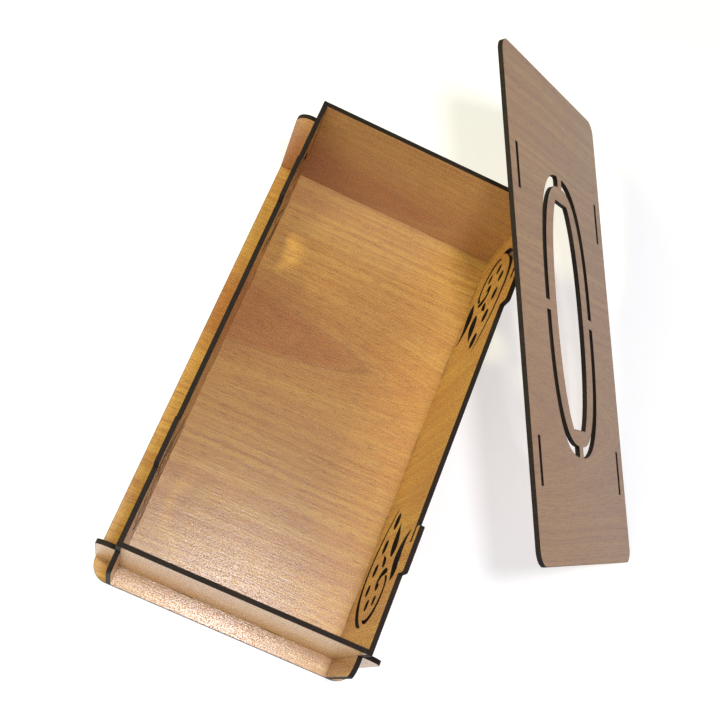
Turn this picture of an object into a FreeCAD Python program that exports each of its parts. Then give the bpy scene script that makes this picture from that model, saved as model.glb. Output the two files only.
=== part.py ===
import FreeCAD, Part
import math
import os
import Sketcher

# Tissue box cut from thin wood-faced board.  Four upright walls cross each other with half-laps
# near the corners, stand on a round-cornered base and carry hooked tabs for a slotted lid.
# The lid is off: it stands on the table and leans against the far right corner of the walls.
# Frame: origin at the centre of the base's underside, X across, Y along the box, Z up.

doc = FreeCAD.newDocument("tissue_box")
sizes = doc.addObject("Spreadsheet::Sheet", "Sizes")

DRIVING_SIZES = {
    "board": 2.5,            # thickness of the board
    "inner_length": 247.5,   # between the end walls
    "inner_width": 122.5,    # between the long walls
    "wall_rise": 82.5,       # walls above the base
    "rim": 10.5,             # base beyond the walls, which is also how far the wall tails run on
    "base_round": 10.0,      # base corner radius
    "tail_rise": 63.0,       # tails above the base
    "tail_round": 8.0,       # outer top corner of a tail
    "lap_play": 0.1,         # a lap slot is this much wider than the board
    "foot_width": 12.0,      # tabs that drop into the base
    "foot_pitch": 50.0,      # spacing of the long walls' foot tabs
    "end_foot_pitch": 52.0,  # spacing of the end walls' two foot tabs
    "hook_width": 24.0,      # lid tab along the wall
    "hook_rise": 9.0,        # lid tab above the wall
    "hook_inset": 40.0,      # from the end wall's outer face to the near edge of the tab
    "hook_throat": 3.0,      # height of the notch that takes the lid
    "hook_reach": 8.0,       # depth of that notch
    "hook_round": 1.6,       # top corners of a lid tab
    "lid_length": 265.0,
    "lid_width": 144.5,
    "lid_round": 8.0,
    "lid_shift": 7.8,        # slots off centre by the lid's locking travel
    "lid_slot_width": 3.0,
    "lid_slot_length": 24.4,
    "groove_round": 1.6,     # outer corners of the oval groove at its end bridges
    "lid_yaw": 31.34,        # the leaning lid's turn about Z, then Y, then X, in degrees
    "lid_pitch": 47.4,
    "lid_roll": 7.47,
    "lid_foot_x": 200.6,     # where the lid's near right corner stands
    "lid_foot_y": -10.8,
    "lid_foot_gap": 0.05,    # the lid's lowest point above the table
}

for row, (alias, value) in enumerate(DRIVING_SIZES.items(), start=1):
    sizes.set(f"A{row}", alias)
    sizes.set(f"B{row}", str(value))
    sizes.setAlias(f"B{row}", alias)
doc.recompute()

FOOT_STEPS = (-2, -1, 0, 1, 2)   # the long walls' foot tabs, in steps of foot_pitch
END_FOOT_STEPS = (-0.5, 0.5)     # the end walls' foot tabs, in steps of end_foot_pitch

BOARD = "Sizes.board"
WALL_TOP = "(Sizes.board + Sizes.wall_rise)"
TAIL_TOP = "(Sizes.board + Sizes.tail_rise)"
LAP_TOP = "(Sizes.board + Sizes.wall_rise / 2)"


def size(alias):
    """The plain number in a cell of the sheet."""
    return float(sizes.get(alias))


def origin_plane(body, role):
    return next(plane for plane in body.Origin.OriginFeatures if plane.Role == role)


def new_body(label):
    body = doc.addObject("PartDesign::Body", label)
    body.Label = label
    return body


def new_sketch(body, name, role):
    sketch = body.newObject("Sketcher::SketchObject", name)
    sketch.AttachmentSupport = [(origin_plane(body, role), "")]
    sketch.MapMode = "FlatFace"
    return sketch


def outline(body, name, role, corners):
    """A closed outline of straight cuts, each corner held by two expressions of the sheet."""
    sketch = new_sketch(body, name, role)
    points = [FreeCAD.Vector(evaluate(across), evaluate(up), 0) for across, up in corners]
    for start, end in zip(points, points[1:] + points[:1]):
        sketch.addGeometry(Part.LineSegment(start, end), False)
    for index in range(len(points)):
        sketch.addConstraint(Sketcher.Constraint("Coincident", index - 1 if index else
                                                 len(points) - 1, 2, index, 1))
    for index, (across, up) in enumerate(corners):
        for kind, value, rule in (("DistanceX", points[index].x, across),
                                  ("DistanceY", points[index].y, up)):
            held = sketch.addConstraint(Sketcher.Constraint(kind, -1, 1, index, 1, value))
            sketch.setExpression(f"Constraints[{held}]", rule)
    return sketch


def evaluate(rule):
    """The number that an expression of the sheet gives."""
    value = sizes.evalExpression(rule.replace("Sizes.", ""))
    return float(getattr(value, "Value", value))


def board_pad(body, sketch):
    pad = body.newObject("PartDesign::Pad", sketch.Name + "_board")
    pad.Profile = sketch
    pad.setExpression("Length", BOARD)
    sketch.Visibility = False
    doc.recompute()
    return pad


def through_cut(body, sketch):
    """A pocket right through the board, checked to take volume away."""
    before = body.Shape.Volume
    pocket = body.newObject("PartDesign::Pocket", sketch.Name + "_cut")
    pocket.Profile = sketch
    pocket.Type = "ThroughAll"
    pocket.Midplane = True
    doc.recompute()
    if body.Shape.Volume > before - 1.0:
        raise RuntimeError(f"{sketch.Name} cut nothing from {body.Label}")
    return pocket


def round_corners(body, base, name, spots, axes, radius):
    """Rounds the edges that cross the board at the given spots of its outline."""
    first, second = axes
    edges = []
    for number, edge in enumerate(base.Shape.Edges, start=1):
        ends = [vertex.Point for vertex in edge.Vertexes]
        if len(ends) != 2:
            continue
        across = [abs(getattr(ends[0], axis) - getattr(ends[1], axis)) for axis in axes]
        at_spot = any(abs(getattr(ends[0], first) - spot[0]) < 0.01
                      and abs(getattr(ends[0], second) - spot[1]) < 0.01 for spot in spots)
        if max(across) < 0.001 and at_spot:
            edges.append(f"Edge{number}")
    if len(edges) != len(spots):
        raise RuntimeError(f"{name} found {len(edges)} edges for {len(spots)} corners")
    fillet = body.newObject("PartDesign::Fillet", name)
    fillet.Base = (base, edges)
    fillet.setExpression("Radius", radius)
    doc.recompute()
    return fillet


def foot_tabs(steps, pitch):
    """Corners of the tabs that drop into the base, from low to high along the wall."""
    corners = []
    for step in steps:
        low = f"({step} * {pitch} - Sizes.foot_width / 2)"
        high = f"({step} * {pitch} + Sizes.foot_width / 2)"
        corners += [(low, BOARD), (low, "0 * Sizes.board"), (high, "0 * Sizes.board"), (high, BOARD)]
    return corners


def lap_edges(side, half_span):
    """Both edges of the slot where a wall crosses its neighbour, from low to high."""
    middle = f"{side} * ({half_span} + Sizes.board / 2)"
    half = "(Sizes.board + Sizes.lap_play) / 2"
    return f"({middle} - {half})", f"({middle} + {half})"


def tail_corners(half_span):
    """How far the tails and the full-height part of a wall reach from its middle."""
    tail = f"({half_span} + Sizes.board + Sizes.rim)"
    shoulder = f"({half_span} + Sizes.board)"
    return tail, shoulder


# ---------------------------------------------------------------- long walls

HALF_LENGTH = "Sizes.inner_length / 2"
HOOK_NEAR_Y = "(Sizes.hook_inset - Sizes.inner_length / 2 - Sizes.board)"
HOOK_FAR_Y = "(Sizes.inner_length / 2 + Sizes.board - Sizes.hook_inset - Sizes.hook_width)"


def hook_corners(near_edge):
    """A lid tab with its notch on the far side, listed from far to near."""
    far_edge = f"({near_edge} + Sizes.hook_width)"
    notch = f"({far_edge} - Sizes.hook_reach)"
    throat = f"({WALL_TOP} + Sizes.hook_throat)"
    head = f"({WALL_TOP} + Sizes.hook_rise)"
    return [(notch, WALL_TOP), (notch, throat), (far_edge, throat), (far_edge, head),
            (near_edge, head), (near_edge, WALL_TOP)]


def long_wall_outline():
    tail, shoulder = tail_corners(HALF_LENGTH)
    near_lap = lap_edges(-1, HALF_LENGTH)
    far_lap = lap_edges(1, HALF_LENGTH)
    corners = [(f"-{tail}", BOARD)]
    corners += [(near_lap[0], BOARD), (near_lap[0], LAP_TOP), (near_lap[1], LAP_TOP), (near_lap[1], BOARD)]
    corners += foot_tabs(FOOT_STEPS, "Sizes.foot_pitch")
    corners += [(far_lap[0], BOARD), (far_lap[0], LAP_TOP), (far_lap[1], LAP_TOP), (far_lap[1], BOARD)]
    corners += [(tail, BOARD), (tail, TAIL_TOP), (shoulder, TAIL_TOP), (shoulder, WALL_TOP)]
    corners += hook_corners(HOOK_FAR_Y)
    corners += hook_corners(HOOK_NEAR_Y)
    corners += [(f"-{shoulder}", WALL_TOP), (f"-{shoulder}", TAIL_TOP), (f"-{tail}", TAIL_TOP)]
    return corners


# The pierced scroll, in mm: along the wall from the end wall's outer face, and up from the base.
# A stroke is a curve through its middle, with the width of the cut at each point.
SCROLL_STROKES = {
    "bowl": [(84.6, 28.6, 0.0), (75.0, 20.6, 2.3), (60.0, 12.3, 3.2), (50.0, 9.9, 3.7), (41.6, 9.8, 4.1),
             (31.0, 13.6, 4.6), (22.4, 22.3, 4.3), (16.8, 33.0, 2.6), (15.2, 41.0, 0.0)],
    "curl": [(19.4, 39.0, 0.0), (18.2, 49.0, 2.8), (20.8, 55.4, 3.8), (25.0, 59.6, 3.9), (29.3, 61.6, 3.7),
             (33.3, 62.0, 3.5), (37.4, 60.9, 3.0), (40.4, 58.0, 2.2), (41.6, 54.2, 0.0)],
    "comma": [(43.9, 56.6, 0.0), (44.4, 49.7, 4.0), (42.2, 43.8, 4.5), (38.9, 42.0, 4.5), (36.6, 44.4, 4.0),
              (38.0, 48.1, 0.0)],
}
# A leaf runs from tip to tip along one side, and again along the other.
SCROLL_LEAVES = {
    "high_leaf": [[(63.8, 76.4), (56.0, 63.3), (50.8, 61.4), (45.0, 63.4), (37.6, 69.3)],
                  [(63.8, 76.4), (57.0, 72.4), (50.0, 73.4), (43.4, 75.0), (37.6, 69.3)]],
    "low_leaf": [[(72.0, 45.5), (64.2, 52.3), (57.0, 56.1), (52.0, 52.6)],
                 [(72.0, 45.5), (64.2, 43.4), (55.8, 45.8), (52.0, 52.6)]],
    "seed": [[(55.4, 33.8), (53.5, 38.6), (51.4, 42.4), (49.2, 43.2)],
             [(55.4, 33.8), (50.8, 36.4), (48.0, 39.2), (47.6, 41.8), (49.2, 43.2)]],
}
SCROLL_DOTS = [(74.2, 33.5, 4.6), (60.4, 27.5, 4.0), (47.3, 25.0, 3.7),
               (35.9, 25.7, 3.3), (27.3, 36.4, 3.1), (29.0, 49.3, 2.7)]


def stroke_sides(stroke):
    """Both edges of a stroke, each half the width away from its middle curve."""
    sides = [[], []]
    last = len(stroke) - 1
    for index, (along, up, width) in enumerate(stroke):
        before = stroke[max(index - 1, 0)]
        after = stroke[min(index + 1, last)]
        run = math.hypot(after[0] - before[0], after[1] - before[1])
        off = width / 2 / run
        normal = ((before[1] - after[1]) * off, (after[0] - before[0]) * off)
        sides[0].append((along + normal[0], up + normal[1]))
        sides[1].append((along - normal[0], up - normal[1]))
    return sides


def pierced_scroll(body):
    """Both scrolls of a long wall: the far one is the near one turned half round."""
    sketch = new_sketch(body, body.Name + "_scroll", "YZ_Plane")
    end_face = evaluate(f"{HALF_LENGTH} + {BOARD}")
    board = size("board")
    wall_rise = size("wall_rise")

    def spot(along, up, turned):
        if turned:
            return FreeCAD.Vector(end_face - along, board + wall_rise - up, 0)
        return FreeCAD.Vector(along - end_face, board + up, 0)

    shapes = [stroke_sides(stroke) for stroke in SCROLL_STROKES.values()]
    shapes += list(SCROLL_LEAVES.values())
    for turned in (False, True):
        for side in [side for shape in shapes for side in shape]:
            edge = Part.BSplineCurve()
            edge.interpolate([spot(along, up, turned) for along, up in side])
            sketch.addGeometry(edge, False)
        for along, up, radius in SCROLL_DOTS:
            dot = Part.Circle(spot(along, up, turned), FreeCAD.Vector(0, 0, 1), radius)
            sketch.addGeometry(dot, False)
    doc.recompute()
    return through_cut(body, sketch)


def long_wall(label, place_x):
    body = new_body(label)
    sketch = outline(body, label + "_outline", "YZ_Plane", long_wall_outline())
    pad = board_pad(body, sketch)
    tail = evaluate(tail_corners(HALF_LENGTH)[0])
    tail_top = evaluate(TAIL_TOP)
    rounded = round_corners(body, pad, label + "_tail_rounds", [(-tail, tail_top), (tail, tail_top)],
                            ("y", "z"), "Sizes.tail_round")
    head = evaluate(f"{WALL_TOP} + Sizes.hook_rise")
    near_edges = (evaluate(HOOK_NEAR_Y), evaluate(HOOK_FAR_Y))
    tops = [(edge + shift, head) for edge in near_edges for shift in (0, size("hook_width"))]
    round_corners(body, rounded, label + "_hook_rounds", tops, ("y", "z"), "Sizes.hook_round")
    pierced_scroll(body)
    body.setExpression("Placement.Base.x", place_x)
    return body


# ---------------------------------------------------------------- end walls

HALF_WIDTH = "Sizes.inner_width / 2"


def end_wall_outline():
    tail, shoulder = tail_corners(HALF_WIDTH)
    left_lap = lap_edges(-1, HALF_WIDTH)
    right_lap = lap_edges(1, HALF_WIDTH)
    corners = [(f"-{tail}", BOARD)]
    corners += foot_tabs(END_FOOT_STEPS, "Sizes.end_foot_pitch")
    corners += [(tail, BOARD), (tail, TAIL_TOP), (right_lap[1], TAIL_TOP), (right_lap[1], LAP_TOP)]
    corners += [(right_lap[0], LAP_TOP), (right_lap[0], WALL_TOP)]
    corners += [(left_lap[1], WALL_TOP), (left_lap[1], LAP_TOP), (left_lap[0], LAP_TOP)]
    corners += [(left_lap[0], TAIL_TOP), (f"-{tail}", TAIL_TOP)]
    return corners


def end_wall(label, place_y):
    body = new_body(label)
    sketch = outline(body, label + "_outline", "XZ_Plane", end_wall_outline())
    pad = board_pad(body, sketch)
    tail = evaluate(tail_corners(HALF_WIDTH)[0])
    tail_top = evaluate(TAIL_TOP)
    round_corners(body, pad, label + "_tail_rounds", [(-tail, tail_top), (tail, tail_top)],
                  ("x", "z"), "Sizes.tail_round")
    body.setExpression("Placement.Base.y", place_y)
    return body


# ---------------------------------------------------------------- base

def box_corners(middle_x, middle_y, length_x, length_y):
    """The four corners of an upright rectangle, as expressions."""
    low_x, high_x = f"({middle_x} - {length_x} / 2)", f"({middle_x} + {length_x} / 2)"
    low_y, high_y = f"({middle_y} - {length_y} / 2)", f"({middle_y} + {length_y} / 2)"
    return [(low_x, low_y), (high_x, low_y), (high_x, high_y), (low_x, high_y)]


def base_panel():
    body = new_body("base_panel")
    length_x = "(Sizes.inner_width + 2 * Sizes.board + 2 * Sizes.rim)"
    length_y = "(Sizes.inner_length + 2 * Sizes.board + 2 * Sizes.rim)"
    corners = box_corners("0 * Sizes.board", "0 * Sizes.board", length_x, length_y)
    pad = board_pad(body, outline(body, "base_outline", "XY_Plane", corners))
    half_x, half_y = evaluate(length_x) / 2, evaluate(length_y) / 2
    spots = [(x, y) for x in (-half_x, half_x) for y in (-half_y, half_y)]
    round_corners(body, pad, "base_rounds", spots, ("x", "y"), "Sizes.base_round")

    slot_long = "(Sizes.foot_width + Sizes.lap_play)"
    slot_wide = "(Sizes.board + Sizes.lap_play)"
    wall_x = "(Sizes.inner_width / 2 + Sizes.board / 2)"
    wall_y = "(Sizes.inner_length / 2 + Sizes.board / 2)"
    for side in (-1, 1):
        for step in FOOT_STEPS:
            hole = box_corners(f"{side} * {wall_x}", f"{step} * Sizes.foot_pitch", slot_wide, slot_long)
            name = f"foot_slot_x{side + 1}_{step + 2}"
            through_cut(body, outline(body, name, "XY_Plane", hole))
        for number, step in enumerate(END_FOOT_STEPS):
            hole = box_corners(f"{step} * Sizes.end_foot_pitch", f"{side} * {wall_y}", slot_long, slot_wide)
            name = f"foot_slot_y{side + 1}_{number}"
            through_cut(body, outline(body, name, "XY_Plane", hole))
    return body


# ---------------------------------------------------------------- lid

GROOVE_OUTER = (36.3, 77.1, 2.65)   # half width, half length and power of an oval |x/a|^p + |y/b|^p = 1
GROOVE_INNER = (30.9, 71.3, 2.6)    # above power 2 the oval is fuller than an ellipse
BRIDGE_SIDE = 5.4                   # board left across the groove at the sides
BRIDGE_END = 6.0                    # and at the ends
MOUTH = (20.8, 67.5, 2.2)           # the dispensing mouth, before its ends are cut flat
MOUTH_CUT_Y = 62.5
CURVE_STEPS = 12


def oval_point(oval, turn):
    """A point of the oval for a turn from 0 at +X to 90 degrees at +Y."""
    half_x, half_y, power = oval
    return half_x * math.cos(turn) ** (2 / power), half_y * math.sin(turn) ** (2 / power)


def turn_at_x(oval, reach):
    return math.acos((reach / oval[0]) ** (oval[2] / 2))


def turn_at_y(oval, reach):
    return math.asin((reach / oval[1]) ** (oval[2] / 2))


def groove_sides():
    """Both sides of the groove in one quarter, from the side bridge to the end bridge."""
    sides = []
    for oval in (GROOVE_OUTER, GROOVE_INNER):
        start = turn_at_y(oval, BRIDGE_SIDE / 2)
        end = turn_at_x(oval, BRIDGE_END / 2)
        turns = [start + (end - start) * step / CURVE_STEPS for step in range(CURVE_STEPS + 1)]
        sides.append([oval_point(oval, turn) for turn in turns])
    return sides


def mouth_side():
    """The right-hand side of the mouth, from its near cut to its far cut."""
    limit = turn_at_y(MOUTH, MOUTH_CUT_Y)
    points = []
    for step in range(-CURVE_STEPS, CURVE_STEPS + 1):
        x, y = oval_point(MOUTH, abs(limit * step / CURVE_STEPS))
        points.append((x, math.copysign(y, step)))
    return points


def add_curve(sketch, points):
    curve = Part.BSplineCurve()
    curve.interpolate([FreeCAD.Vector(x, y, 0) for x, y in points])
    sketch.addGeometry(curve, False)


def add_line(sketch, start, end):
    sketch.addGeometry(Part.LineSegment(FreeCAD.Vector(*start, 0), FreeCAD.Vector(*end, 0)), False)


def cut_oval(body):
    """The groove, in four quarters with bridges between them, rounded where it meets the end bridges."""
    sketch = new_sketch(body, "oval_groove", "XY_Plane")
    outer, inner = groove_sides()
    for flip_x in (-1, 1):
        for flip_y in (-1, 1):
            sides = [[(x * flip_x, y * flip_y) for x, y in side] for side in (outer, inner)]
            for side in sides:
                add_curve(sketch, side)
            for end in (0, -1):
                add_line(sketch, sides[0][end], sides[1][end])
    doc.recompute()
    groove = through_cut(body, sketch)
    corner_x, corner_y = outer[-1]
    spots = [(corner_x * flip_x, corner_y * flip_y) for flip_x in (-1, 1) for flip_y in (-1, 1)]
    round_corners(body, groove, "groove_rounds", spots, ("x", "y"), "Sizes.groove_round")


def cut_mouth(body):
    sketch = new_sketch(body, "dispensing_mouth", "XY_Plane")
    right = mouth_side()
    left = [(-x, y) for x, y in right]
    add_curve(sketch, right)
    add_curve(sketch, left)
    for end in (0, -1):
        add_line(sketch, left[end], right[end])
    doc.recompute()
    through_cut(body, sketch)


def stand_lid(body):
    """Turns the lid, then stands its lowest point on the table beside the box."""
    turned = FreeCAD.Rotation(size("lid_yaw"), size("lid_pitch"), size("lid_roll"))
    corner = FreeCAD.Vector(size("lid_width") / 2, -size("lid_length") / 2, 0)
    foot = FreeCAD.Vector(size("lid_foot_x"), size("lid_foot_y"), 0)
    body.Placement = FreeCAD.Placement(foot - turned.multVec(corner), turned)
    body.Placement.Base.z += size("lid_foot_gap") - body.Shape.optimalBoundingBox(False).ZMin


def lid_panel():
    body = new_body("lid_panel")
    corners = box_corners("0 * Sizes.board", "0 * Sizes.board", "Sizes.lid_width", "Sizes.lid_length")
    pad = board_pad(body, outline(body, "lid_outline", "XY_Plane", corners))
    half_x, half_y = size("lid_width") / 2, size("lid_length") / 2
    spots = [(x, y) for x in (-half_x, half_x) for y in (-half_y, half_y)]
    round_corners(body, pad, "lid_rounds", spots, ("x", "y"), "Sizes.lid_round")
    slot_x = "(Sizes.inner_width / 2 + Sizes.board / 2)"
    slot_y = (f"({HOOK_NEAR_Y} + Sizes.hook_width / 2 - Sizes.lid_shift)",
              f"({HOOK_FAR_Y} + Sizes.hook_width / 2 - Sizes.lid_shift)")
    for side in (-1, 1):
        for number, middle_y in enumerate(slot_y):
            hole = box_corners(f"{side} * {slot_x}", middle_y,
                               "Sizes.lid_slot_width", "Sizes.lid_slot_length")
            through_cut(body, outline(body, f"lid_slot_{side + 1}_{number}", "XY_Plane", hole))
    cut_oval(body)
    cut_mouth(body)
    stand_lid(body)
    return body


parts = [
    base_panel(),
    long_wall("left_wall", "-(Sizes.inner_width / 2 + Sizes.board)"),
    long_wall("right_wall", "Sizes.inner_width / 2"),
    end_wall("front_wall", "-Sizes.inner_length / 2"),
    end_wall("back_wall", "Sizes.inner_length / 2 + Sizes.board"),
    lid_panel(),
]
doc.recompute()

for item in doc.Objects:
    if "Invalid" in item.State or "Error" in item.State:
        raise RuntimeError(f"{item.Label} failed: {item.State}")

for part in parts:
    if part.Shape.isNull() or not part.Shape.isValid() or len(part.Shape.Solids) != 1:
        raise RuntimeError(f"{part.Label} is not one sound solid")

os.makedirs("parts", exist_ok=True)
for part in parts:
    part.Shape.exportStep(f"parts/{part.Label}.step")
    box = part.Shape.optimalBoundingBox(False)
    print(f"{part.Label:12s} volume {part.Shape.Volume:9.1f}  x {box.XMin:7.2f} {box.XMax:7.2f}"
          f"  y {box.YMin:7.2f} {box.YMax:7.2f}  z {box.ZMin:6.2f} {box.ZMax:6.2f}")
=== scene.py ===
# %% [markdown]
# # A tissue box of wood-faced board
# The object is a box for paper tissues, cut by laser from thin board with a printed wood face.
# Four walls cross near the corners and stand on a base; a slotted lid leans on one corner.
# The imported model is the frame: it already has every panel at its real size and place, so this
# lesson gives the panels their scorched rims, their wood faces, a floor, lights and a camera.

# %% Load the frame
import bpy
import math
from mathutils import Matrix, Vector


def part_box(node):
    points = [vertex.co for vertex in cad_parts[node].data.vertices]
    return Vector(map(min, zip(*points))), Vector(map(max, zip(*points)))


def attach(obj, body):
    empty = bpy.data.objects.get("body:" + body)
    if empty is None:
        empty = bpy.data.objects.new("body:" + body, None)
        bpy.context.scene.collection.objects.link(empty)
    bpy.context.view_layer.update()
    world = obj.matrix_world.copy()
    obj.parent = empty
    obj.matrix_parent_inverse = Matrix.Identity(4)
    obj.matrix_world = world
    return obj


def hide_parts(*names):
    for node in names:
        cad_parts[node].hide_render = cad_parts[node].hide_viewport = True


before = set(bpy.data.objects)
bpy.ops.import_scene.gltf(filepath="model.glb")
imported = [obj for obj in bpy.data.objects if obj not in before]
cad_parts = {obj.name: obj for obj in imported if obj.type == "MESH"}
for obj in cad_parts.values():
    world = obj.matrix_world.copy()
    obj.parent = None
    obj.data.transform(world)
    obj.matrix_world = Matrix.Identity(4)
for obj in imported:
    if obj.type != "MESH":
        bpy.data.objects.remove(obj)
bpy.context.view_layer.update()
MM = 0.001

# %% [markdown]
# ## How a cut panel looks
# A laser chars the board where it cuts. The cut sides turn almost black and a narrow rim of each
# face goes brown. A painted line could fake the rim, but a real band of faces follows every
# outline, each pierced leaf as well, and carries a value that fades from the cut to the clean wood.
# So each panel is a copy of its CAD mesh, merged into one skin, with its two wood faces inset.

# %% Copy a CAD panel as a new piece
SCORCH_BAND = 0.55 * MM    # width of the browned rim


def copy_panel(node, name):
    """A merged copy of a CAD node, lying in the row frame with nothing moved."""
    bpy.ops.object.select_all(action="DESELECT")
    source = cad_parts[node]
    panel = bpy.data.objects.new(name, source.data.copy())
    bpy.context.scene.collection.objects.link(panel)
    panel.data.name = name
    panel.data.materials.clear()
    bpy.context.view_layer.objects.active = panel
    panel.select_set(True)
    bpy.ops.object.mode_set(mode="EDIT")
    bpy.ops.mesh.select_all(action="SELECT")
    bpy.ops.mesh.remove_doubles(threshold=0.002 * MM)
    bpy.ops.object.mode_set(mode="OBJECT")
    print(name, "has", len(panel.data.vertices), "points after merging")
    return panel


# %% Find how a panel lies
def panel_axes(panel):
    """The panel's own directions: across, along its longest edge, and out of its face."""
    mesh = panel.data
    face = max(mesh.polygons, key=lambda polygon: polygon.area)
    out = face.normal.copy()
    if out.z < -0.1:
        out.negate()
    spans = [mesh.vertices[edge.vertices[1]].co - mesh.vertices[edge.vertices[0]].co for edge in mesh.edges]
    flat = [span for span in spans if abs(span.normalized().dot(out)) < 0.01]
    along = max(outline_spans(mesh, out) or flat, key=lambda span: span.length).normalized()
    if along.y < -0.1:
        along.negate()
    return along.cross(out).normalized(), along, out.normalized()


def outline_spans(mesh, out):
    """The edges between a wood face and a cut side, as vectors."""
    sides = {}
    for polygon in mesh.polygons:
        on_face = abs(polygon.normal.dot(out)) > 0.9
        for key in polygon.edge_keys:
            sides.setdefault(key, set()).add(on_face)
    return [mesh.vertices[b].co - mesh.vertices[a].co for (a, b), kinds in sides.items() if len(kinds) == 2]


# %% Give a panel its scorched rim
WOOD_SLOT, CUT_SLOT = 0, 1


def lies_flat(mesh, polygon, out):
    """True when every corner is at one level, so the polygon is part of a wood face."""
    levels = [mesh.vertices[index].co.dot(out) for index in polygon.vertices]
    return max(levels) - min(levels) < 0.1 * MM


def scorch_rims(panel, out):
    """Insets both wood faces; the new band fades from 1 at the cut to 0 at the clean wood."""
    mesh = panel.data
    bpy.context.scene.tool_settings.mesh_select_mode = (False, False, True)
    for polygon in mesh.polygons:
        polygon.select = lies_flat(mesh, polygon, out)
    bpy.ops.object.mode_set(mode="EDIT")
    bpy.ops.mesh.beautify_fill(angle_limit=math.radians(1.0))
    bpy.ops.mesh.inset(thickness=SCORCH_BAND, use_boundary=True, use_even_offset=False)
    bpy.ops.mesh.select_all(action="DESELECT")
    bpy.ops.object.mode_set(mode="OBJECT")
    bpy.ops.mesh.customdata_custom_splitnormals_clear()
    bpy.ops.object.shade_smooth_by_angle(angle=math.radians(35))
    for polygon in mesh.polygons:
        polygon.material_index = WOOD_SLOT if lies_flat(mesh, polygon, out) else CUT_SLOT
    burnt = {index for polygon in mesh.polygons if polygon.material_index == CUT_SLOT
             for index in polygon.vertices}
    scorch = mesh.attributes.new("scorch", "FLOAT", "POINT")
    for index in range(len(mesh.vertices)):
        scorch.data[index].value = 1.0 if index in burnt else 0.0
    print(panel.name, "has", len(burnt), "burnt points of", len(mesh.vertices))


# %% [markdown]
# ## The wood face
# The face is a printed and embossed film. Its print has three scales: bands and thin lines that
# arch round a reddish tongue as on a flat-sawn plank, fibres a few centimetres long, and short
# dark pores. The emboss is a fine grit that catches a lamp as sparkle; part of that sparkle is
# painted into the colour, as pale painted highlights on the high grit and painted shade on its low
# spots. An image could hold this, but nodes stay sharp at any size and let each panel have its own
# stretch of the same plank.

# %% Small helpers for nodes
def add_node(tree, kind, settings=None, **inputs):
    """A node with its settings and inputs; an input that is a socket is linked."""
    made = tree.nodes.new(kind)
    for key, value in (settings or {}).items():
        setattr(made, key, value)
    for key, value in inputs.items():
        socket = made.inputs[int(key[1:])] if key[0] == "i" and key[1:].isdigit() else made.inputs[key]
        if isinstance(value, bpy.types.NodeSocket):
            tree.links.new(value, socket)
        else:
            socket.default_value = value
    return made


def calc(tree, operation, first, second=0.0, third=0.0, clamp=False):
    settings = {"operation": operation, "use_clamp": clamp}
    return add_node(tree, "ShaderNodeMath", settings, i0=first, i1=second, i2=third).outputs[0]


def mix_colour(tree, share, first, second, blend="MIX"):
    settings = {"data_type": "RGBA", "blend_type": blend}
    return add_node(tree, "ShaderNodeMix", settings, i0=share, i6=first, i7=second).outputs[2]


def ramp(tree, value, low, high):
    """0 below low, 1 above high, smooth between."""
    settings = {"interpolation_type": "SMOOTHSTEP"}
    made = add_node(tree, "ShaderNodeMapRange", settings, Value=value)
    made.inputs["From Min"].default_value = low
    made.inputs["From Max"].default_value = high
    return made.outputs["Result"]


def noise(tree, vector, scale, detail=2.0, rough=0.5, distortion=0.0):
    return add_node(tree, "ShaderNodeTexNoise", None, Vector=vector, Scale=scale, Detail=detail,
                    Roughness=rough, Distortion=distortion).outputs["Fac"]


def noise_along(tree, distance, scale, detail):
    """Noise that changes along one distance only, for bands and lines."""
    return add_node(tree, "ShaderNodeTexNoise", {"noise_dimensions": "1D"}, W=distance, Scale=scale,
                    Detail=detail, Roughness=0.6).outputs["Fac"]


# %% Colours, from screen values to light
def screen(red, green, blue):
    """A colour given as it shows on a screen, from 0 to 255, turned to linear light."""
    linear = [((c / 255 + 0.055) / 1.055) ** 2.4 if c > 10 else c / 255 / 12.92 for c in (red, green, blue)]
    return (*linear, 1.0)


GOLDEN = screen(211, 169, 88)
HONEY = screen(196, 146, 74)
RUSSET = screen(164, 102, 60)
TONGUE = screen(168, 103, 54)
PORE = screen(122, 78, 46)
# pale painted highlights for the sparkle on the embossed grit
PAINTED_SPARKLE = screen(240, 212, 176)
SCORCHED = screen(44, 30, 22)
CHAR = screen(26, 21, 19)
BROWN_CHAR = screen(46, 34, 27)


# %% Coordinates that follow the grain
def grain_coordinates(tree, grain, side, out, centre):
    """Millimetres along the grain, across it and through the board, counted from centre."""
    turn = Matrix((grain, side, out)).transposed().to_euler()
    place = add_node(tree, "ShaderNodeTexCoord").outputs["Object"]
    mapping = add_node(tree, "ShaderNodeMapping", {"vector_type": "TEXTURE"}, Vector=place)
    mapping.inputs["Location"].default_value = centre
    mapping.inputs["Rotation"].default_value = turn
    mapping.inputs["Scale"].default_value = (MM, MM, MM)
    split = add_node(tree, "ShaderNodeSeparateXYZ", None, Vector=mapping.outputs["Vector"])
    return split.outputs


def stretched(tree, axes, along, across, through, shift=0.0):
    """Grain coordinates scaled separately, for streaks."""
    parts = [calc(tree, "MULTIPLY", axes[0], along), calc(tree, "MULTIPLY_ADD", axes[1], across, shift),
             calc(tree, "MULTIPLY_ADD", axes[2], through, shift)]
    return add_node(tree, "ShaderNodeCombineXYZ", None, X=parts[0], Y=parts[1], Z=parts[2]).outputs[0]


# %% The arching bands of a flat-sawn plank
DRIFT, WOBBLE = 14.0, 2.4          # how far the bands wander, slowly and quickly, in mm
TIP_SHIFT = 8.0                    # the mean of that wander, taken off again
TIP_ROUNDING = 70.0                # how blunt the tongue is, in square mm
ARCH_REACH = -0.0008               # how fast the arching dies out to either side, per square mm


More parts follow.
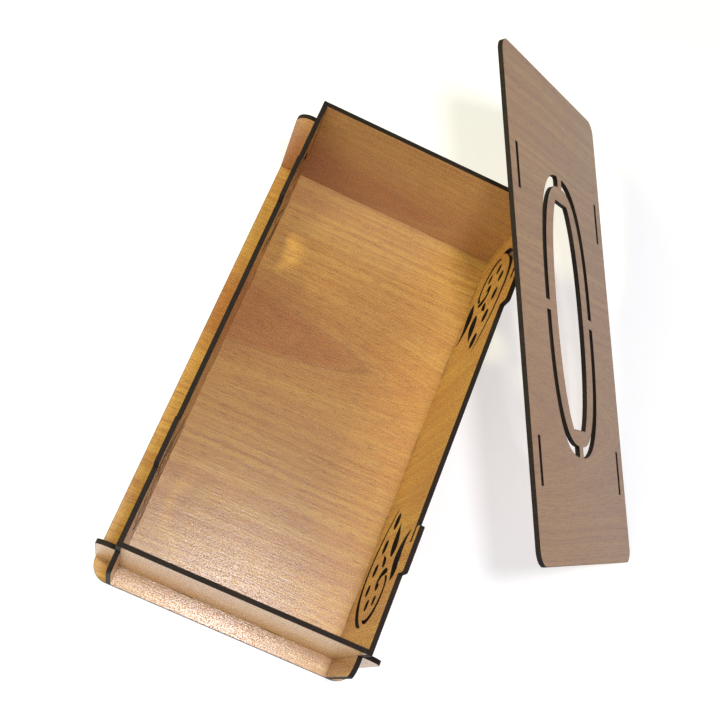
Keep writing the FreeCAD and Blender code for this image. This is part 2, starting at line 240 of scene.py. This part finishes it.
def plank_field(tree, axes, tip, arch, seed):
    """Grows across the grain; its level lines arch round a tongue whose tip is at (along, across)."""
    drift = noise(tree, stretched(tree, axes, 0.006, 0.012, 0.012, seed), 1.0, 2.0)
    wobble = noise(tree, stretched(tree, axes, 0.03, 0.07, 0.07, seed + 3.1), 1.0, 3.0)
    across = calc(tree, "MULTIPLY_ADD", drift, DRIFT, axes[1])
    across = calc(tree, "MULTIPLY_ADD", wobble, WOBBLE, across)
    off = calc(tree, "SUBTRACT", across, tip[1] + TIP_SHIFT)
    bend = calc(tree, "SQRT", calc(tree, "MULTIPLY_ADD", off, off, TIP_ROUNDING))
    near = calc(tree, "EXPONENT", calc(tree, "MULTIPLY", calc(tree, "MULTIPLY", off, off), ARCH_REACH))
    slope = calc(tree, "MULTIPLY", calc(tree, "SUBTRACT", axes[0], tip[0]), near)
    return calc(tree, "MULTIPLY_ADD", slope, arch, bend)


def tinted(tree, colour, where, share, tint):
    """The colour, moved towards a tint by a share of where."""
    return mix_colour(tree, calc(tree, "MULTIPLY", where, share), colour, tint)


# %% Build one wood face
TONGUE_EDGE = (10.5, 7.0)          # field values from outside the reddish tongue to inside it
TONGUE_LINE = 9.6                  # the thin dark line that bounds the tongue
HALO_EDGE = (34.0, 8.0)            # the weaker reddish tint round the tongue
FILM_IOR = 1.6                     # a melamine film


def wood_face(name, grain, side, out, centre, tip=(0.0, 400.0), arch=0.2, seed=0.0, red=0.25, gloss=0.28,
              figure=1.0, painted_sheen_tint=(1.0, 1.0, 1.0, 1.0)):
    """The printed film: bands, fibres, pores and grit, with painted sparkle on the grit and a painted sheen
    tint, browned where the scorch value is high.
    """
    material = bpy.data.materials.new(name)
    material.use_nodes = True
    tree = material.node_tree
    surface = tree.nodes["Principled BSDF"]
    axes = grain_coordinates(tree, grain, side, out, centre)

    field = plank_field(tree, axes, tip, arch, seed)
    rings = noise_along(tree, field, 0.15, 4.0)
    lines = calc(tree, "ABSOLUTE", calc(tree, "SUBTRACT", noise_along(tree, field, 0.2, 2.0), 0.5))
    fibres = noise(tree, stretched(tree, axes, 0.02, 0.75, 0.75, seed), 1.0, 4.0, 0.62)
    fine = noise(tree, stretched(tree, axes, 0.10, 2.0, 2.0, seed + 7.0), 1.0, 2.0, 0.6)
    pores = noise(tree, stretched(tree, axes, 0.12, 1.9, 1.9, seed + 1.7), 1.0, 2.0, 0.55)
    broad = noise(tree, stretched(tree, axes, 0.008, 0.025, 0.025, seed + 5.0), 1.0, 2.0)
    grit = noise(tree, stretched(tree, axes, 1.3, 1.5, 1.5, seed), 1.0, 2.0, 0.6)

    colour = mix_colour(tree, ramp(tree, rings, 0.36, 0.64), HONEY, GOLDEN)
    colour = tinted(tree, colour, ramp(tree, broad, 0.4, 0.7), 0.4 * figure, RUSSET)
    tongue = ramp(tree, field, *TONGUE_EDGE)
    colour = tinted(tree, colour, tongue, red, TONGUE)
    halo = calc(tree, "MULTIPLY", ramp(tree, field, *HALO_EDGE), red * 0.45)
    colour = mix_colour(tree, halo, colour, TONGUE)
    rim = calc(tree, "ABSOLUTE", calc(tree, "SUBTRACT", field, TONGUE_LINE))
    colour = tinted(tree, colour, ramp(tree, rim, 1.0, 0.2), red * 0.5, PORE)
    colour = tinted(tree, colour, ramp(tree, lines, 0.10, 0.02), 0.42 * figure, RUSSET)
    colour = tinted(tree, colour, ramp(tree, fibres, 0.49, 0.42), 0.40 * figure, RUSSET)
    colour = tinted(tree, colour, ramp(tree, fine, 0.42, 0.66), 0.22, GOLDEN)
    colour = tinted(tree, colour, ramp(tree, pores, 0.56, 0.64), 0.5, PORE)
    # Painted sparkle of the emboss: painted shade darkens the grit's low spots and pale painted highlights
    # mark its high spots.
    colour = tinted(tree, colour, ramp(tree, grit, 0.52, 0.36), 0.26, PORE)
    colour = tinted(tree, colour, ramp(tree, grit, 0.56, 0.66), 0.17, PAINTED_SPARKLE)
    # Painted sheen: the colour is multiplied by a tint that stands for reflected light; it is white, so no
    # change, on every panel but the lid.
    colour = mix_colour(tree, 1.0, colour, painted_sheen_tint, "MULTIPLY")

    scorch = add_node(tree, "ShaderNodeAttribute", {"attribute_name": "scorch"}).outputs["Fac"]
    smoke = noise(tree, stretched(tree, axes, 0.5, 0.5, 0.5, seed), 1.0, 3.0)
    burn = calc(tree, "POWER", scorch, 1.4)
    burn = calc(tree, "MULTIPLY", burn, calc(tree, "MULTIPLY_ADD", smoke, 0.8, 0.45), clamp=True)
    colour = mix_colour(tree, burn, colour, SCORCHED)
    tree.links.new(colour, surface.inputs["Base Color"])

    polish = calc(tree, "MULTIPLY_ADD", grit, 0.24, gloss - 0.12)
    polish = calc(tree, "MULTIPLY_ADD", burn, 0.3, polish)
    tree.links.new(polish, surface.inputs["Roughness"])
    surface.inputs["IOR"].default_value = FILM_IOR
    specks = ramp(tree, grit, 0.54, 0.70)
    relief = calc(tree, "MULTIPLY_ADD", pores, -0.4, calc(tree, "MULTIPLY_ADD", fibres, 0.4, specks))
    bump = add_node(tree, "ShaderNodeBump", None, Strength=0.55, Distance=0.19 * MM, Height=relief)
    tree.links.new(bump.outputs["Normal"], surface.inputs["Normal"])
    print(name, "has", len(tree.nodes), "nodes")
    return material


# %% [markdown]
# ## The cut sides
# A cut side is charred fibre board. It is near black, dull, a little browner in the middle of its
# thickness, and ribbed across by the beam. The ribs are a noise stretched through the board.

# %% Build one cut side
def cut_side(name, grain, side, out, centre, seed=0.0):
    material = bpy.data.materials.new(name)
    material.use_nodes = True
    tree = material.node_tree
    surface = tree.nodes["Principled BSDF"]
    axes = grain_coordinates(tree, grain, side, out, centre)
    ribs = noise(tree, stretched(tree, axes, 2.4, 2.4, 0.25, seed), 1.0, 3.0, 0.6)
    patches = noise(tree, stretched(tree, axes, 0.08, 0.08, 0.3, seed + 2.0), 1.0, 2.0)
    colour = mix_colour(tree, ramp(tree, ribs, 0.4, 0.75), CHAR, BROWN_CHAR)
    colour = mix_colour(tree, calc(tree, "MULTIPLY", ramp(tree, patches, 0.45, 0.8), 0.5), colour,
                        BROWN_CHAR)
    tree.links.new(colour, surface.inputs["Base Color"])
    surface.inputs["Roughness"].default_value = 0.72
    surface.inputs["Specular IOR Level"].default_value = 0.15
    bump = add_node(tree, "ShaderNodeBump", None, Strength=0.4, Distance=0.1 * MM, Height=ribs)
    tree.links.new(bump.outputs["Normal"], surface.inputs["Normal"])
    return material


# %% [markdown]
# ## The six panels
# The grain runs across the base and the lid, up the long walls and along the end walls, because
# the parts were nested on one sheet with no care for direction. Each panel takes its grain
# direction and its own seed, so that no two show the same print.

# %% Make every panel
X, Y, Z = Vector((1, 0, 0)), Vector((0, 1, 0)), Vector((0, 0, 1))
PANELS = {
    "base_panel": {"grain": X, "tip": (10.0, 30.0), "arch": 0.17, "seed": 2.0, "red": 0.7,
                   "figure": 0.7, "gloss": 0.30},
    "left_wall": {"grain": Z, "seed": 11.0},
    "right_wall": {"grain": Z, "seed": 17.0},
    "front_wall": {"grain": X, "seed": 23.0},
    "back_wall": {"grain": X, "tip": (20.0, 22.0), "arch": 0.22, "seed": 29.0, "red": 0.7},
    # The lid's multiplied tint is a painted sheen: a greyer, pinker cast standing for the room reflected in
    # its glossy film.
    "lid_panel": {"grain": None, "tip": (-30.0, -60.0), "seed": 37.0, "gloss": 0.36,
                  "figure": 0.6, "painted_sheen_tint": (0.79, 0.65, 0.62, 1.0)},
}

for node, look in PANELS.items():
    panel = copy_panel(node, node.replace("_panel", "").replace("_wall", "") + "_board")
    across, along, out = panel_axes(panel)
    grain = look.pop("grain") or across
    side = out.cross(grain).normalized()
    low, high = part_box(node)
    middle = (Vector(low) + Vector(high)) / 2
    scorch_rims(panel, out)
    panel.data.materials.append(wood_face(node + "_face", grain, side, out, middle, **look))
    panel.data.materials.append(cut_side(node + "_cut", grain, side, out, middle, look["seed"]))
    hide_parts(node)
    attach(panel, "lid" if node == "lid_panel" else "tray")
    print(panel.name, "grain", [round(c, 3) for c in grain], "out", [round(c, 3) for c in out])

# %% [markdown]
# ## Table, light and camera
# A plain pale table takes soft shadows and glows a little, as a white sheet does under strong light.
# A warm lamp from the left reaches over the left wall and through its scrolls. A small white lamp
# above gives the floor of the box its glare. A cooler lamp in front fills the far wall.

# %% Table
TABLE_GLOW = 0.62          # its own light, which keeps the shadows faint
TABLE_GREY = (0.48, 0.48, 0.48, 1.0)

bpy.ops.object.select_all(action="DESELECT")
bpy.ops.mesh.primitive_plane_add(size=6.0, location=(0, 0, -0.05 * MM))
table = bpy.context.object
table.name = "table"
paper = bpy.data.materials.new("pale_table")
paper.use_nodes = True
sheet = paper.node_tree.nodes["Principled BSDF"].inputs
sheet["Base Color"].default_value = TABLE_GREY
sheet["Roughness"].default_value = 0.9
sheet["Emission Color"].default_value = (1.0, 1.0, 1.0, 1.0)
sheet["Emission Strength"].default_value = TABLE_GLOW
table.data.materials.append(paper)

# %% Lamps
LAMPS = {
    "warm_lamp": {"at": (-0.75, 0.1, 0.62), "size": 0.30, "watts": 7.6, "colour": (0.94, 0.94, 0.44)},
    "top_lamp": {"at": (0.05, -0.115, 0.95), "size": 0.14, "watts": 6.0, "colour": (0.96, 0.95, 1.0)},
    "near_lamp": {"at": (-0.2, -0.8, 0.6), "size": 0.35, "watts": 4.3, "colour": (0.78, 0.82, 1.0)},
}


def aim(thing, target):
    """Turns a lamp so that it looks at the target."""
    thing.rotation_euler = (Vector(target) - thing.location).to_track_quat("-Z", "Y").to_euler()


for name, lamp in LAMPS.items():
    light = bpy.data.lights.new(name, "AREA")
    light.shape = "DISK"
    light.size = lamp["size"]
    light.energy = lamp["watts"]
    light.color = lamp["colour"]
    holder = bpy.data.objects.new(name, light)
    bpy.context.scene.collection.objects.link(holder)
    holder.location = lamp["at"]
    aim(holder, (0.0, 0.0, 0.03))

world = bpy.data.worlds.new("white_room")
bpy.context.scene.world = world
world.use_nodes = True
world.node_tree.nodes["Background"].inputs["Color"].default_value = (1.0, 1.0, 1.0, 1)
world.node_tree.nodes["Background"].inputs["Strength"].default_value = 0.08
bpy.context.scene.view_settings.view_transform = "Standard"

# %% Camera
bpy.ops.object.camera_add(location=(-41.9 * MM, -182.4 * MM, 594.9 * MM))
camera = bpy.context.object
camera.rotation_euler = [math.radians(angle) for angle in (15.453, -11.234, 22.179)]
camera.data.sensor_width = 36.0
camera.data.lens = 55.33
camera.data.shift_x = 0.0359
camera.data.shift_y = 0.0253
bpy.context.scene.camera = camera
